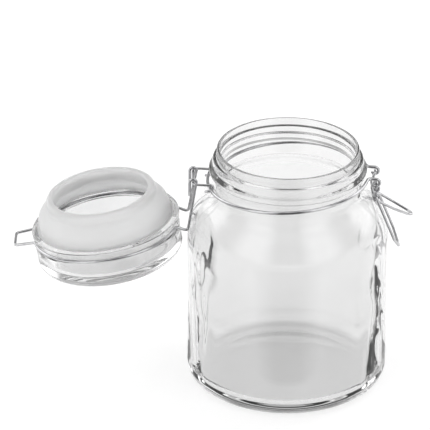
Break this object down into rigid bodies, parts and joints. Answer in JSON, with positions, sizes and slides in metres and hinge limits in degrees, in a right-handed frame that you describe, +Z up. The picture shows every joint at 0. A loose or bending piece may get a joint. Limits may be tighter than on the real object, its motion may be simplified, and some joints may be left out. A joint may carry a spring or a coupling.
{
  "type": "lidded glass canister",
  "caption": "Round glass storage canister with a stepped neck, a hinged glass lid with a silicone gasket, and a wire swing clamp that latches the lid.",
  "frame": {"origin": "centre of the jar's flat base, on the surface that the jar stands on", "axes": "+Z up along the jar's axis, -X towards the lid's hinge, +X towards the latch"},
  "size_m": [0.2411, 0.1226, 0.152],
  "materials": {
    "glass": "clear pressed glass, fire-polished, faint wavy relief on the body",
    "silicone": "translucent milky silicone, satin",
    "wire": "bright drawn steel wire"
  },
  "bodies": {
    "jar": {"glass_jar": "glass", "neck_ring": "wire", "hinge_bracket": "wire"},
    "lid": {"glass_lid": "glass", "lid_gasket": "silicone", "lid_wire": "wire"},
    "lever": {"latch_lever": "wire"},
    "link": {"latch_link": "wire"}
  },
  "joints": [
    {"name": "lid_hinge", "type": "hinge", "parent": "jar", "child": "lid", "pos_m": [-0.0569, 0, 0.1327], "axis": [0, 1, 0], "range_deg": [0, 188.5]},
    {"name": "lever_pivot", "type": "hinge", "parent": "jar", "child": "lever", "pos_m": [0.0526, 0, 0.1327], "axis": [0, -1, 0], "range_deg": [0, 100]},
    {"name": "link_pivot", "type": "hinge", "parent": "lever", "child": "link", "pos_m": [0.0532, 0, 0.122], "axis": [0, -1, 0], "range_deg": [0, 60]}
  ]
}
